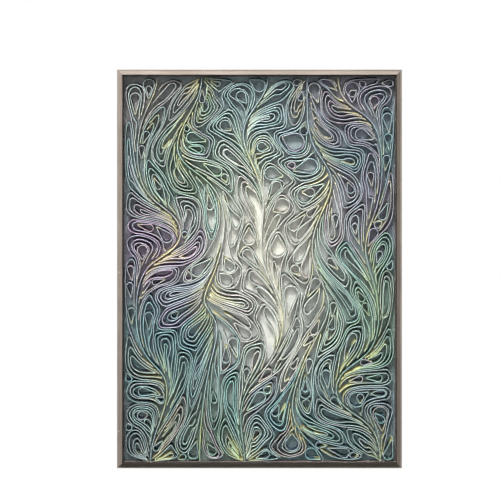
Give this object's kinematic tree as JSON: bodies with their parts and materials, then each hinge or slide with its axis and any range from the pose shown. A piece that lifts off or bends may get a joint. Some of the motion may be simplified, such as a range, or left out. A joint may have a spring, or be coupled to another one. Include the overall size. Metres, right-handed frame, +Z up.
{
  "type": "framed quilled paper wall hanging",
  "caption": "Upright shadow-box wall hanging: curled paper strips standing on edge in flowing feathers behind clear glazing in a slim taupe frame.",
  "frame": {"origin": "centre of the frame's flat back, in the plane of the wall", "axes": "+X to the right as seen from the front, +Y into the wall, +Z up; the picture faces -Y"},
  "size_m": [0.5, 0.0354, 0.7],
  "materials": {
    "paper_taupe": "matt, paler on its cut edge",
    "paper_slate": "matt, paler on its cut edge",
    "paper_green": "matt, paler on its cut edge",
    "paper_pale_blue": "matt, paler on its cut edge",
    "paper_ivory": "matt, paler on its cut edge",
    "paper_teal": "matt, paler on its cut edge",
    "paper_mauve": "matt, paler on its cut edge",
    "paper_straw": "matt, paler on its cut edge",
    "limed_wood": "taupe limed wood, satin, worn at the corners",
    "dark_spacer": "dark brown lined card",
    "glass": "clear, polished",
    "board": "fibreboard, painted dark slate in front and raw behind"
  },
  "bodies": {
    "root": {"backing_board": "board", "bottom_rail": "limed_wood", "bottom_spacer": "dark_spacer", "feather_1_left_high": "paper_taupe", "feather_1_left_low": "paper_teal", "feather_1_left_middle": "paper_mauve", "feather_1_left_top": "paper_taupe", "feather_1_right_high": "paper_green", "feather_1_right_low": "paper_slate", "feather_1_right_middle": "paper_mauve", "feather_1_right_top": "paper_slate", "feather_1_stem": "paper_straw", "feather_2_left_high": "paper_green", "feather_2_left_low": "paper_teal", "feather_2_left_middle": "paper_pale_blue", "feather_2_left_top": "paper_slate", "feather_2_right_high": "paper_pale_blue", "feather_2_right_low": "paper_green", "feather_2_right_middle": "paper_ivory", "feather_2_right_top": "paper_green", "feather_2_stem": "paper_straw", "feather_3_left_high": "paper_ivory", "feather_3_left_low": "paper_pale_blue", "feather_3_left_middle": "paper_ivory", "feather_3_left_top": "paper_slate", "feather_3_right_high": "paper_ivory", "feather_3_right_low": "paper_pale_blue", "feather_3_right_middle": "paper_ivory", "feather_3_right_top": "paper_pale_blue", "feather_3_stem": "paper_straw", "feather_4_left_high": "paper_pale_blue", "feather_4_left_low": "paper_green", "feather_4_left_middle": "paper_ivory", "feather_4_left_top": "paper_taupe", "feather_4_right_high": "paper_slate", "feather_4_right_low": "paper_teal", "feather_4_right_middle": "paper_green", "feather_4_right_top": "paper_slate", "feather_4_stem": "paper_straw", "feather_5_left_high": "paper_teal", "feather_5_left_low": "paper_teal", "feather_5_left_middle": "paper_green", "feather_5_left_top": "paper_taupe", "feather_5_right_high": "paper_green", "feather_5_right_low": "paper_slate", "feather_5_right_middle": "paper_teal", "feather_5_right_top": "paper_mauve", "feather_5_stem": "paper_straw", "glazing": "glass", "left_rail": "limed_wood", "left_spacer": "dark_spacer", "right_rail": "limed_wood", "right_spacer": "dark_spacer", "top_rail": "limed_wood", "top_spacer": "dark_spacer"}
  },
  "joints": []
}
